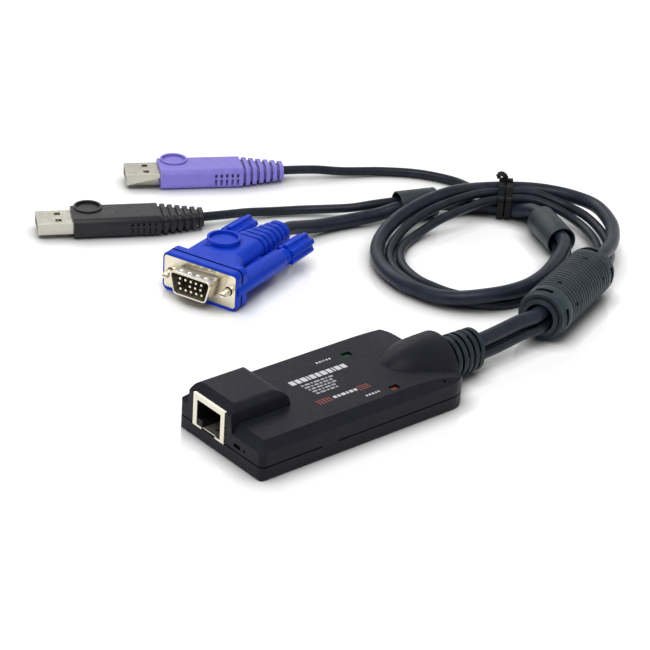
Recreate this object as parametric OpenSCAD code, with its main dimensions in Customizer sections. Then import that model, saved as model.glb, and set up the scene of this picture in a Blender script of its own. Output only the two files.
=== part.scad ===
// Video and USB adapter lead: a small case with a network socket at one end
// and, at the other, a bundle of one video cable and two USB cables that runs
// through a ferrite, makes one and a half turns under a twist tie and ends in
// a 15 pin video plug and two USB plugs.
// Millimetres, +Z up, +X along the case towards the cables, origin under the
// middle of the case on the surface it stands on.

/* [Case] */
// Length of the case
case_length = 90; // [84:1:110]
// Width of the case
case_width = 43; // [42:1:56]
// Height of the flat top of the case
case_height = 13; // [12.5:0.5:16]
// Height of the seam between the two shells
seam_height = 4.6; // [4.2:0.1:5]
// Thickness of the shell walls
case_wall = 1.8; // [1.4:0.1:2]
// Size of the 45 degree bevel round the top
case_bevel = 3; // [2:0.5:4]
// Length over which the rear end of the top rolls down
rear_roll = 24; // [14:1:26]
// Top of the raised housing over the network socket
socket_hump_height = 18.8; // [18.4:0.2:21]
// Length of the raised housing over the network socket
socket_hump_length = 24; // [23:1:28]
// Radius of the raised nose over the cable entry
cable_hump_radius = 11.4; // [11:0.1:12]
// Length of the raised nose over the cable entry
cable_hump_length = 27; // [22:1:32]

/* [Network socket] */
// Width of the metal shield
shield_width = 16.2; // [15.6:0.1:17]
// Height of the metal shield
shield_height = 11.6; // [11.2:0.1:12]
// Depth of the metal shield
shield_depth = 18; // [16:0.5:20]
// Distance of the socket from the middle line of the case
socket_offset = 5.5; // [4:0.5:6]
// Width of the plug opening
port_width = 12; // [11.8:0.1:12.4]
// Height of the plug opening above the latch slot
port_height = 6.8; // [6.6:0.1:7]

/* [Board] */
// Thickness of the circuit board
board_thickness = 1.6; // [1.2:0.2:1.8]
// Width of each indicator lens
lens_width = 3.2; // [2.4:0.2:4]

/* [Cable boot] */
// Half width of the boot at its cable end
boot_tip_half_width = 6.6; // [6.4:0.1:7]
// Half height of the boot
boot_half_height = 7.7; // [7.2:0.1:7.8]
// Length of the boot outside the case
boot_length = 17; // [15:1:20]
// Number of ribs on the boot
boot_ribs = 6; // [4:1:7]

/* [Cables] */
// Diameter of the video cable
video_cable_d = 5.4; // [5:0.1:5.6]
// Diameter of each USB cable
usb_cable_d = 3.5; // [3.2:0.1:3.6]

/* [Ferrite] */
// Outer diameter of the ferrite cover
ferrite_d = 18.5; // [18:0.1:19]
// Length of the ferrite cover
ferrite_length = 50; // [46:1:52]
// Diameter of the ferrite core inside
core_d = 15.8; // [14.4:0.2:16.2]
// Number of fine ridges round the ferrite cover
ferrite_ridges = 18; // [10:1:20]

/* [Sleeves and tie] */
// Outer diameter of a cable sleeve
sleeve_d = 11.6; // [11.4:0.1:12]
// Bore of a cable sleeve
sleeve_bore = 10.4; // [10.2:0.1:10.8]
// Length of the sleeve by the ferrite
near_sleeve_length = 20.6; // [16:0.2:21]
// Length of the sleeve under the loop
far_sleeve_length = 16; // [12:0.5:16]
// Width of one wrap of the twist tie
tie_width = 2.4; // [1.6:0.2:3]

/* [Video plug] */
// Width of the plug's front rim
video_width = 32; // [31.6:0.2:34]
// Height of the plug's front rim
video_height = 15; // [14:0.2:15.4]
// Distance between the two thumbscrews
screw_spacing = 25; // [24.8:0.1:25.2]
// Diameter of the thumbscrew thread, 4-40 UNC
screw_d = 2.84; // [2.7:0.02:2.9]
// Diameter of the thumbscrew knob
knob_d = 8.6; // [8.4:0.2:10]
// Length of the thumbscrew knob
knob_length = 18; // [14:0.5:19]
// Diameter of one pin
pin_d = 0.9; // [0.7:0.05:1]

/* [USB plugs] */
// Width of the metal shell
usb_shell_width = 12; // [11.8:0.1:12.2]
// Height of the metal shell
usb_shell_height = 4.5; // [4.4:0.1:4.7]
// Length of metal shell that shows
usb_shell_reach = 13.4; // [12:0.2:15]
// Thickness of the metal shell
usb_shell_wall = 0.35; // [0.3:0.05:0.4]
// Width of the moulded grip
usb_grip_width = 15.6; // [14.6:0.2:16.6]
// Height of the moulded grip
usb_grip_height = 8; // [7.6:0.2:9]
// Length of the moulded grip
usb_grip_length = 50; // [46:1:54]

/* [Hidden] */
$fn = 40;

// Shared fits
fit_gap = 0.3;
cut_over = 1;
hair = 0.02;
least_round = 0.3;
case_rear = case_length / 2;
case_front = -case_rear;

// Case details
case_corner = 2.2;
rear_corner = 9;
rear_drop_share = 0.75;
case_foot_radius = 1;
lip_height = 1.2;
lip_share = 0.5;
rear_drop = (case_height - seam_height - lip_height) * rear_drop_share;
seam_line = 0.5;
hump_round = 3;
socket_hump_side = 2.7;
socket_hump_flare = 1.6;
socket_hump_slope = 4;
cable_hump_y = -3;
cable_hump_z = 7;
cable_hump_straight = 6.6;
lamp_side_gap = 0.25;
lamp_hole_width = lens_width + 2 * lamp_side_gap;
lamp_hole_depth = 2.6;
lamp_recess = 0.9;
online_x = 16;
online_inset = 11.3;
power_x = 14.5;
power_inset = 5.8;
online_place = [online_x, case_width / 2 - online_inset];
power_place = [power_x, power_inset - case_width / 2];
switch_slot = [3.4, 1.5];
switch_place = [-9, 6.9];
dot_d = 1.1;
dot_place = [-12.6, 6.9];
side_dot_d = 1;
side_dot_x = 33;
seam_tab = [7, 0.7];
seam_tab_x = -16.9;

// Board and what it carries
board_seat = 0.1;
board_top = seam_height + board_seat;
board_under = board_top - board_thickness;
board_edge_gap = 1.4;
board_front_gap = 0.6;
board_rear_setback = 14;
board_front_x = case_front + case_wall + board_front_gap;
board_rear_x = case_rear - board_rear_setback;
post_d = 4.4;
peg_d = 1.8;
post_inset = 6;
chip_height = 1.4;
chip_leg = 0.4;
chip_foot = 1;
control_chip_place = [-4, -6];
control_chip_size = [14, 14, chip_height];
control_chip_legs = 12;
video_chip_place = [-4, 11.5];
video_chip_size = [9, 7, chip_height];
video_chip_legs = 8;
header_size = [5, 14, 4.2];
crystal_place = [11, -5];
crystal_size = [4.6, 10.6, 3.2];
lens_base = 1.6;

// Socket details
shield_sheet = 0.4;
shield_proud = 0.4;
shield_front = case_front - shield_proud;
window_width = port_width + 0.2;
window_base = 0.7;
window_height = 9;
latch_width = 7;
port_depth = 12.5;
contact_size = [8, 0.45, 0.35];
contact_pitch = 1.02;
contact_count = 8;

// Boot and bundle
boot_y = -3.5;
boot_z = 7.9;
boot_root_half_width = 8.6;
boot_groove = 1.1;
boot_groove_length = 1.1;
boot_neck_radius = 6.1;
boot_flange_radius = 8.6;
boot_flange_thickness = 2.4;
bundle_rise = 1.9;
bundle_drop = 2.6;
bundle_side = 1.9;
channel_gap = 0.05;

// Ferrite details
ferrite_start = [95, -2];
ferrite_turn = 21.4;
ferrite_bore = 10.7;
core_length = 36;
boss_d = 13.6;
boss_height = 1.4;
rim_step = 0.6;
rim_length = 1.6;
ridge_depth = 0.4;
ridge_zone = 34;
ridge_shares = [0.5, 0.62, 0.88, 1];
slot_length = 1.9;
slot_depth = 1;
slot_angle = 42;
slot_turn = -6;
slot_inset = 3.6;
slot_count = 4;
ferrite_dot_d = 2;
ferrite_dot_inset = 13;
ferrite_dot_turns = [8, 72, 188, 252];

// Sleeve and tie places
near_sleeve_start = [152.6, 43.5];
near_sleeve_turn = 67.5;
far_sleeve_start = [121, 102.6];
far_sleeve_turn = -17.9;
tie_place = [162, 84.6];
tie_turn = 45;
tie_thickness = 0.8;
tie_wrap_gap = 0.6;
tie_knot = 1.9;
tie_half = tie_width + tie_wrap_gap / 2;
tie_reach = 15;

// Video plug details
video_place = [15.1, 89.5, video_height / 2];
video_turn = 18.3;
flange_size = [0.8, 30.8, 12.5];
flange_corner = 1;
rim_depth = 6;
rim_inset = 0.7;
rim_front_depth = 2.2;
rim_groove_length = 0.9;
video_corner = 2.4;
arch_half = [13, 6.9];
arch_length = 8;
hood_start_half = [9.4, 6.9];
hood_end_half = [7.7, 6.6];
hood_end_x = 30;
hood_slice = 1;
hood_corner = 4.4;
video_rib_count = 6;
video_rib_length = 21.6;
video_tail_half = [5, 4.9];
video_rib_groove = 0.9;
video_rib_groove_length = 1.2;
grip_ring_place = [21, 4.6];
grip_ring_d = 10.6;
grip_ring_width = 0.9;
grip_ring_rise = 0.8;
grip_ring_foot = 5;
grip_dish_depth = 1;
screw_sleeve_d = 8;
screw_sleeve_end = 32;
web_setback = 6;
screw_reach = 4.2;
screw_shank_d = 2.2;
knob_gap = 0.4;
knob_flutes = 6;
knob_flute_d = 3.2;
knob_waist_length = 4;
knob_waist_share = 0.72;
dshell_top_width = 16.9;
dshell_height = 8.4;
dshell_slant = 10;
dshell_corner = 1.5;
dshell_wall = 0.4;
dshell_reach = 6.2;
pin_reach = 5.2;
pin_pitch = 2.29;
pin_row_pitch = 1.98;
missing_pin = [0, 1];

// USB plug details
purple_place = [63.2, 180.8];
purple_turn = -28.5;
black_place = [8.6, 161.5];
black_turn = -27.5;
usb_corner = 2.4;
usb_window = 2.3;
usb_window_x = 5.4;
usb_window_y = 2.9;
usb_tongue_height = 1.9;
usb_tongue_setback = 0.6;
usb_contact_width = 1;
usb_contact_pitch = 2.2;
usb_contact_height = 0.2;
usb_contact_count = 4;
usb_ring_x = 6.4;
usb_ring_d = 9.2;
usb_ring_width = 0.8;
usb_ring_out = 0.9;
usb_ring_rise = 0.6;
usb_dish_depth = 0.9;
usb_slot_from = 22;
usb_slot_to = 33;
usb_slot_columns = 5;
usb_slot_width = 0.9;
usb_slot_depth = 0.8;
usb_slot_high = [0.8, 2.2];
usb_slot_low_top = 0;
usb_body_end = 33;
usb_rib_count = 6;
usb_rib_start = [14.6, 7.6];
usb_rib_end = [8.6, 6.2];
usb_rib_corner = 2.4;
usb_rib_groove = 0.9;
usb_rib_groove_length = 1.2;

// Routes of the three cables
loop_centre = [133, 55.5];
loop_radius = 47;
loop_oval = 5;
loop_tilt = 5;
loop_step = 15;
loop_end = 180;
tie_draw = 2.4;
lean_draw = 6.6;
start_draw = 1.8;
lean_lift = 2.8;
video_high = 8.9;
video_low = 3.4;
purple_inset = 5;
purple_start_draw = 0.4;
purple_start_drop = 2.9;
purple_lift = 0.5;
purple_low_drop = 0.8;
black_inset = 8.5;
black_start_draw = 0.9;
black_low_draw = 0.6;
black_start = 4.2;
black_high = 8;
video_radius = video_cable_d / 2;
usb_radius = usb_cable_d / 2;
tube_sides = 8;

function smooth(t) = let (u = min(1, max(0, t))) u * u * (3 - 2 * u);
function mix(a, from, to, low, high) = low + (high - low) * smooth((a - from) / (to - from));
function bump(a, middle, spread) = exp(-pow((a - middle) / spread, 2));
// Radius of the first turn of the video cable, drawn in by the tie and where it leans on the far sleeve
function video_out(a) = -tie_draw * bump(a, 40, 22) - lean_draw * bump(a, 84, 30)
    - start_draw * bump(a, 0, 25);
function video_rise(a) = mix(a, 96, 150, video_high, video_low) + lean_lift * bump(a, 84, 22);
function purple_out(a) = video_out(a) - purple_inset - purple_start_draw * bump(a, 0, 12);
function purple_rise(a) = video_rise(a) + mix(a, 5, 32, -purple_start_drop, purple_lift)
    - mix(a, 55, 85, 0, purple_lift + purple_low_drop) - mix(a, 100, 140, 0, purple_low_drop);
function black_out(a) = video_out(a) - black_inset - black_start_draw * bump(a, 0, 12)
    - mix(a, 60, 90, 0, black_low_draw);
function black_rise(a) = mix(a, 0, 32, black_start, black_high)
    - mix(a, 88, 130, 0, black_high - usb_radius - hair);
function loop_point(a, out, rise) = let (r = loop_radius + loop_oval * cos(2 * (a - loop_tilt)) + out)
    [loop_centre[0] + r * cos(a), loop_centre[1] + r * sin(a), rise];
video_route = concat(
    [[45, -3.5, 9.8], [62, -3.5, 9.8], [72, -3.2, 10.2], [84, -2.6, 11], [95, -2, 11.15], [118.2, 7.2, 11.15],
    [141.4, 16.5, 11.15], [150.6, 20.4, 10.8], [160, 25.4, 9.8], [169, 32.6, 9.2], [177, 41.8, 8.9]],
    [for (a = [0:loop_step:loop_end]) loop_point(a, video_out(a), video_rise(a))],
    [[82, 46.5, 3.6], [84, 38.8, 3.8], [88.2, 31.8, 4.8], [94.5, 26.2, 6.2], [103, 22.8, 6.8],
    [113, 22.2, 6.9], [123.5, 24.6, 6.9], [133.5, 28.8, 7.1], [142, 33.6, 7.4], [148.5, 38.2, 7.6],
    [152.6, 43.5, 7.7],
    [156.6, 53, 7.7], [160.5, 62.6, 7.7], [161.6, 69.5, 6.9], [160.8, 76.4, 4.1], [159.5, 82, 3],
    [155.9, 86.9, 2.9], [150.4, 90.5, 3.2], [143.4, 93.4, 4.6], [135.6, 95.9, 5.8], [128, 98.3, 5.8],
    [120.4, 100.8, 5.8], [112.5, 103.6, 4], [104, 106.4, 3], [95, 108.4, 2.8], [86, 109.2, 3.4],
    [78, 109, 5], [71, 107.8, 6.8], [64.1, 105.7, 7.5]]);
purple_route = concat(
    [[45, -5.4, 5.3], [62, -5.4, 5.3], [72, -5.1, 5.5], [84, -4.5, 6.4], [95.7, -3.9, 6.65],
    [118.9, 5.3, 6.65], [142.1, 14.6, 6.65], [151.4, 19, 6.2], [160.4, 25, 4.9],
    [168.4, 33.8, 4.7], [174.4, 43.8, 5.1]],
    [for (a = [0:loop_step:loop_end]) loop_point(a, purple_out(a), purple_rise(a))],
    [[86.6, 47.5, 1.8], [88.2, 40, 1.8], [91.6, 33, 1.8], [96.6, 27, 1.8], [104, 22.8, 1.8], [114, 21.7, 1.8],
    [123.5, 24, 1.8], [133.5, 28.4, 1.9], [142.5, 33.2, 2.4], [149.8, 37.6, 2.9], [154.4, 42.8, 3.2],
    [158.4, 52.3, 3.2], [162.3, 61.9, 3.2], [166.2, 69, 2.8], [168.6, 76, 2.7], [168.2, 82.6, 3.4],
    [165.7, 88.3, 4], [164.6, 96, 2.6], [164.4, 105, 1.8], [163, 115.5, 1.8], [156, 128, 1.8],
    [144.8, 138, 1.8], [130, 145.6, 2.4], [119, 150.8, 3.8], [107, 157, 4]]);
black_route = concat(
    [[45, -1.6, 5.3], [62, -1.6, 5.3], [72, -1.3, 5.5], [84, -0.7, 6.4], [94.3, -0.2, 6.65], [117.5, 9, 6.65],
    [140.7, 18.3, 6.65], [149.6, 22.8, 6], [157.6, 28.8, 4.2], [165, 36.6, 4], [170.4, 45.8, 4]],
    [for (a = [0:loop_step:loop_end]) loop_point(a, black_out(a), black_rise(a))],
    [[90.8, 48.5, 1.8], [92.4, 41.4, 1.8], [95.8, 35, 1.8], [101, 29.6, 1.8], [108, 26.8, 1.8],
    [117, 27, 1.8], [126.5, 30, 1.9], [135, 34, 2.3], [141.8, 37.2, 2.7], [147, 40.4, 3], [151, 44.6, 3.2],
    [154.8, 53.7, 3.2], [158.7, 63.3, 3.2], [162.6, 70, 1.8], [164.7, 76.6, 1.8], [164.6, 81.6, 1.8],
    [163.1, 85.7, 1.9], [160.2, 89.6, 1.8], [156, 93, 1.8], [150.5, 95.9, 2.8], [144.5, 98.2, 4.6],
    [137.1, 100.5, 6.4], [129.5, 102.9, 6.4], [121.9, 105.4, 6.4], [114, 108.8, 5.8], [107, 113.2, 4.4],
    [100, 119.8, 3], [92, 126, 2.2], [82, 131.2, 2], [72, 134.4, 2.8], [62.4, 135.6, 3.8],
    [52.9, 138.4, 4.1]]);

// Helpers
function oval_arc(centre, radii, from, to, count) = [for (i = [0:count])
    let (a = from + (to - from) * i / count) [centre[0] + radii[0] * cos(a), centre[1] + radii[1] * sin(a)]];
function arc(centre, radius, from, to, count) = oval_arc(centre, [radius, radius], from, to, count);
function unit(v) = v / norm(v);
function spline(a, b, c, d, t) = 0.5 * ((2 * b) + (c - a) * t + (2 * a - 5 * b + 4 * c - d) * t * t
    + (3 * b - a - 3 * c + d) * t * t * t);
function halved(route) = let (last = len(route) - 1)
    [for (i = [0:last], half = [0:1]) if (i < last || half == 0) half == 0 ? route[i]
        : spline(route[max(i - 1, 0)], route[i], route[i + 1], route[min(i + 2, last)], 0.5)];
function ring(place, direction, radius) = let (side = unit(cross(direction, [0, 0, 1])),
    up = cross(side, direction)) [for (k = [0:tube_sides - 1]) place
        + radius * (side * cos(360 * (k + 0.5) / tube_sides) + up * sin(360 * (k + 0.5) / tube_sides))];

// A round tube swept along a route
module tube(route, radius) {
    last = len(route) - 1;
    rings = [for (i = [0:last]) ring(route[i], unit(route[min(i + 1, last)] - route[max(i - 1, 0)]), radius)];
    points = [for (r = rings, p = r) p];
    sides = [for (i = [0:last - 1], k = [0:tube_sides - 1], half = [0:1]) let (a = i * tube_sides + k,
        b = i * tube_sides + (k + 1) % tube_sides)
        half == 0 ? [a, b, b + tube_sides] : [a, b + tube_sides, a + tube_sides]];
    start = [for (k = [1:tube_sides - 2]) [0, k + 1, k]];
    far = last * tube_sides;
    end = [for (k = [1:tube_sides - 2]) [far, far + k, far + k + 1]];
    polyhedron(points, concat(sides, start, end), convexity = 10);
}

// Least distance between the far turns of one cable, less its diameter
function self_gap(route, radius, apart) = min([for (i = [0:len(route) - 1], j = [i + apart:1:len(route) - 1])
    norm(route[i] - route[j])]) - 2 * radius;
echo(video_cable_gap = self_gap(halved(video_route), video_radius, 10));
echo(purple_cable_gap = self_gap(halved(purple_route), usb_radius, 10));
echo(black_cable_gap = self_gap(halved(black_route), usb_radius, 10));

// Rounded rectangle without a hull, so that its corners stay true arcs
module round_rect(size, radius) {
    square([size[0] - 2 * radius, size[1]], center = true);
    square([size[0], size[1] - 2 * radius], center = true);
    for (x = [-1, 1], y = [-1, 1])
        translate([x * (size[0] / 2 - radius), y * (size[1] / 2 - radius)])
            circle(radius);
}

// Extrudes a YZ outline along X, from one x to another
module along_x(from, to) {
    translate([from, 0, 0])
        rotate([90, 0, 90])
            linear_extrude(to - from)
                children();
}

// Extrudes an XZ outline along Y, from one y to another
module along_y(from, to) {
    translate([0, to, 0])
        rotate([90, 0, 0])
            linear_extrude(to - from)
                children();
}

// Upright oval, wider or higher by its own half sizes
module upright_oval(half_width, half_height) {
    straight = half_height - half_width;
    for (s = [-1, 1])
        translate([0, s * straight])
            circle(half_width);
    square([2 * half_width, 2 * straight], center = true);
}

// Case outline in plan, drawn in by an inset
module case_plan(inset) {
    half = case_width / 2 - inset;
    front = max(case_corner - inset, least_round);
    rear = max(rear_corner - inset, least_round);
    polygon(concat(arc([case_front + inset + front, half - front], front, 90, 180, 5),
        arc([case_front + inset + front, front - half], front, 180, 270, 5),
        arc([case_rear - inset - rear, rear - half], rear, 270, 360, 8),
        arc([case_rear - inset - rear, half - rear], rear, 0, 90, 8)));
}

// Case outline seen along its length
module case_section(inset) {
    half = case_width / 2 - inset;
    top = case_height - inset;
    side = case_height - case_bevel - inset * tan(22.5);
    foot = max(case_foot_radius - inset, least_round);
    polygon(concat(arc([foot - half, inset + foot], foot, 180, 270, 4),
        arc([half - foot, inset + foot], foot, 270, 360, 4),
        [[half, side], [half - (top - side), top], [(top - side) - half, top], [-half, side]]));
}

// Case outline seen from the side
module case_side(inset) {
    front = case_front + inset;
    top = case_height - inset;
    side = case_height - case_bevel - inset * tan(22.5);
    foot = max(case_foot_radius - inset, least_round);
    polygon(concat(arc([front + foot, inset + foot], foot, 180, 270, 4),
        arc([case_rear - inset - foot, inset + foot], foot, 270, 360, 4),
        oval_arc([case_rear - rear_roll, case_height - rear_drop],
            [rear_roll - inset, rear_drop - inset], 0, 90, 10),
        [[front + top - side, top], [front, side]]));
}

// Body of the case without its two raised parts
module case_block(inset) {
    intersection() {
        linear_extrude(case_height)
            case_plan(inset);
        along_x(case_front, case_rear)
            case_section(inset);
        along_y(-case_width / 2, case_width / 2)
            case_side(inset);
    }
}

// Raised part over the network socket
module socket_hump(inset) {
    top = socket_hump_height - inset;
    half = shield_width / 2 + socket_hump_side - inset;
    rear = case_front + socket_hump_length - inset;
    round = max(hump_round - inset, least_round);
    base = seam_height;
    intersection() {
        translate([0, socket_offset, 0])
            along_x(case_front, case_rear)
                polygon(concat([[half + socket_hump_flare, base]],
                    arc([half - round, top - round], round, 0, 90, 6),
                    arc([round - half, top - round], round, 90, 180, 6),
                    [[-half - socket_hump_flare, base]]));
        along_y(-case_width, case_width)
            polygon(concat([[case_front + inset, base], [rear + socket_hump_slope, base]],
                arc([rear - round * 2, top - round * 2], round * 2, 0, 90, 6),
                [[case_front + inset + round, top], [case_front + inset, top - round]]));
    }
}

// Raised nose over the cable entry
module cable_hump(inset) {
    radius = cable_hump_radius - inset;
    nose = cable_hump_length - cable_hump_straight - inset;
    intersection() {
        translate([case_rear - inset, cable_hump_y, cable_hump_z])
            rotate([0, -90, 0])
                rotate_extrude($fn = 64)
                    polygon(concat([[0, 0], [radius, 0]],
                        [for (i = [0:11]) let (a = 90 * i / 12)
                            [radius * cos(a), cable_hump_straight - inset + nose * sin(a)]],
                        [[0, cable_hump_straight - inset + nose]]));
        translate([0, -case_width, seam_height])
            cube([case_length, 2 * case_width, case_length]);
    }
}

// Hollow inside both shells
module case_void() {
    case_block(case_wall);
    socket_hump(case_wall);
    cable_hump(case_wall);
}

// Opening in the rear wall for the neck of the boot
module boot_hole() {
    translate([case_rear - 2 * case_wall, boot_y, boot_z])
        rotate([0, 90, 0])
            cylinder(r = boot_neck_radius + fit_gap, h = 4 * case_wall);
}

// Space for the network socket in the front wall
module socket_hole() {
    translate([case_front - cut_over, socket_offset - shield_width / 2 - fit_gap, board_top - fit_gap])
        cube([cut_over + 2 * case_wall, shield_width + 2 * fit_gap, shield_height + 2 * fit_gap]);
}

// Slab that keeps what lies above the seam
module above_seam(height) {
    translate([-case_length, -case_width, height])
        cube([2 * case_length, 2 * case_width, case_length]);
}

// Small tab of the upper shell that dips below the seam on the long side
module seam_tab_block(extra) {
    intersection() {
        case_block(0);
        translate([seam_tab_x - seam_tab[0] / 2 - extra, -case_width / 2, seam_height - seam_tab[1] - extra])
            cube([seam_tab[0] + 2 * extra, case_wall * (1 - lip_share) - fit_gap / 2 + extra,
                seam_tab[1] + 2 * extra + hair]);
    }
}

// Fine line cut round the outside of the case where the shells meet
module seam_groove() {
    difference() {
        translate([0, 0, seam_height - hair])
            linear_extrude(seam_line + hair)
                difference() {
                    square([2 * case_length, 2 * case_width], center = true);
                    case_plan(seam_line);
                }
        translate([seam_tab_x - seam_tab[0] / 2, -2 * case_width, 0])
            cube([seam_tab[0], 2 * case_width, case_height]);
    }
}

module upper_shell() {
    color("#33363f")
        difference() {
            union() {
                intersection() {
                    case_block(0);
                    above_seam(seam_height);
                }
                socket_hump(0);
                cable_hump(0);
                seam_tab_block(0);
            }
            case_void();
            // rebate for the lip of the lower shell
            intersection() {
                case_block(case_wall * lip_share);
                translate([-case_length, -case_width, seam_height - cut_over])
                    cube([2 * case_length, 2 * case_width, cut_over + lip_height + fit_gap]);
            }
            seam_groove();
            boot_hole();
            socket_hole();
            for (place = [online_place, power_place])
                translate([place[0] - lamp_hole_width / 2, place[1] - lamp_hole_depth / 2,
                    case_height - 2 * case_wall])
                    cube([lamp_hole_width, lamp_hole_depth, 3 * case_wall]);
            translate([case_front - cut_over, switch_place[0] - switch_slot[0] / 2,
                switch_place[1] - switch_slot[1] / 2])
                cube([cut_over + case_wall / 2, switch_slot[0], switch_slot[1]]);
            translate([case_front - cut_over, dot_place[0], dot_place[1]])
                rotate([0, 90, 0])
                    cylinder(d = dot_d, h = cut_over + case_wall / 2);
            translate([side_dot_x, case_bevel / 2 - case_width / 2, case_height - case_bevel / 2])
                rotate([45, 0, 0])
                    cylinder(d = side_dot_d, h = case_wall, center = true);
        }
}

module lower_shell() {
    post_x = [board_front_x + post_inset + shield_depth, board_rear_x - post_inset];
    post_y = case_width / 2 - case_wall - post_inset;
    color("#2c2f37")
        union() {
            difference() {
                union() {
                    difference() {
                        case_block(0);
                        above_seam(seam_height);
                    }
                    // lip that rises inside the upper shell
                    difference() {
                        case_block(case_wall * lip_share + fit_gap / 2);
                        above_seam(seam_height + lip_height);
                    }
                }
                case_block(case_wall);
                boot_hole();
                socket_hole();
                seam_tab_block(fit_gap / 3);
                // lip kept clear of the raised nose and the boot flange
                translate([case_rear - 3 * case_wall, cable_hump_y - cable_hump_radius, seam_height])
                    cube([4 * case_wall, 2 * cable_hump_radius, lip_height + cut_over]);
                translate([case_front - cut_over, socket_offset - shield_width, seam_height])
                    cube([cut_over + 2 * case_wall, 2 * shield_width, lip_height + cut_over]);
            }
            for (x = post_x, y = [-post_y, post_y]) {
                translate([x, y, case_wall - cut_over / 2])
                    cylinder(d = post_d, h = board_under - case_wall + cut_over / 2);
                translate([x, y, board_under - cut_over / 2])
                    cylinder(d = peg_d, h = board_thickness + cut_over);
            }
        }
}

module circuit_board() {
    post_x = [board_front_x + post_inset + shield_depth, board_rear_x - post_inset];
    post_y = case_width / 2 - case_wall - post_inset;
    width = case_width - 2 * (case_wall + board_edge_gap);
    color("#1f6b3a")
        difference() {
            translate([board_front_x, -width / 2, board_under])
                cube([board_rear_x - board_front_x, width, board_thickness]);
            for (x = post_x, y = [-post_y, post_y])
                translate([x, y, board_under - cut_over])
                    cylinder(d = peg_d + fit_gap, h = board_thickness + 2 * cut_over);
        }
}

// Flat chip with a row of legs on two sides
module chip(place, size, legs) {
    translate([place[0], place[1], board_top]) {
        translate([-size[0] / 2, -size[1] / 2, 0])
            cube(size);
        for (i = [0:legs - 1], s = [-1, 1])
            translate([(i + 0.5) * size[0] / legs - size[0] / 2 - chip_leg / 2,
                s * size[1] / 2 - (s < 0 ? chip_foot : 0), 0])
                cube([chip_leg, chip_foot, size[2] / 2]);
    }
}

module control_chip() {
    color("#202226")
        chip(control_chip_place, control_chip_size, control_chip_legs);
}

module video_chip() {
    color("#202226")
        chip(video_chip_place, video_chip_size, video_chip_legs);
}

module clock_crystal() {
    color("#c8ccd0")
        translate([crystal_place[0], crystal_place[1], board_top + crystal_size[2] / 2])
            rotate([90, 0, 0])
                linear_extrude(crystal_size[1], center = true)
                    round_rect([crystal_size[0], crystal_size[2]], crystal_size[2] / 3);
}

module network_shield() {
    color("#c9c7c0")
        translate([shield_front, socket_offset - shield_width / 2, board_top])
            difference() {
                cube([shield_depth, shield_width, shield_height]);
                translate([shield_sheet, shield_sheet, shield_sheet])
                    cube([shield_depth - 2 * shield_sheet, shield_width - 2 * shield_sheet,
                        shield_height - 2 * shield_sheet]);
                translate([-cut_over, (shield_width - window_width) / 2, window_base])
                    cube([cut_over + 2 * shield_sheet, window_width, window_height]);
                translate([-cut_over, (shield_width - latch_width) / 2, -cut_over])
                    cube([cut_over + 2 * shield_sheet, latch_width, cut_over + window_base + shield_sheet]);
            }
}

module network_insert() {
    sheets = 2 * shield_sheet;
    inner = [shield_depth - sheets, shield_width - sheets, shield_height - sheets];
    port_base = window_base + window_height - port_height;
    color("#23252b")
        translate([shield_front, socket_offset - shield_width / 2, board_top])
            difference() {
                translate([shield_sheet, shield_sheet, shield_sheet])
                    cube(inner);
                translate([0, (shield_width - port_width) / 2, port_base])
                    cube([port_depth, port_width, port_height]);
                translate([0, (shield_width - latch_width) / 2, 0])
                    cube([port_depth - shield_sheet * 4, latch_width, port_base + cut_over]);
            }
}

module network_contacts() {
    contact_z = board_top + window_base + window_height - contact_size[2];
    color("#d8b45a")
        for (i = [0:contact_count - 1])
            translate([shield_front + port_depth - contact_size[0],
                socket_offset + (i - (contact_count - 1) / 2) * contact_pitch - contact_size[1] / 2,
                contact_z])
                cube(contact_size);
}

// Indicator lens that stands on the board in its hole in the top
module lens(place) {
    translate([place[0], place[1], board_top]) {
        translate([-lens_width / 2, -lamp_hole_depth / 2 + fit_gap / 2, 0])
            cube([lens_width, lamp_hole_depth - fit_gap, case_height - board_top - lamp_recess]);
        translate([-lens_width / 2 - fit_gap, -lamp_hole_depth / 2 - fit_gap, 0])
            cube([lens_width + 2 * fit_gap, lamp_hole_depth + 2 * fit_gap, lens_base]);
    }
}

module online_lens() {
    color("#3fae5a")
        lens(online_place);
}

module power_lens() {
    color("#d9812b")
        lens(power_place);
}

module cable_header() {
    color("#e8e6dc")
        translate([board_rear_x - header_size[0] - fit_gap, cable_hump_y - header_size[1] / 2, board_top])
            cube(header_size);
}

// One closed rib outline of the boot, narrower towards the cables
module boot_outline(share, inset) {
    half_width = boot_root_half_width + (boot_tip_half_width - boot_root_half_width) * share - inset;
    upright_oval(min(half_width, boot_half_height - inset - hair), boot_half_height - inset);
}

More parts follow.
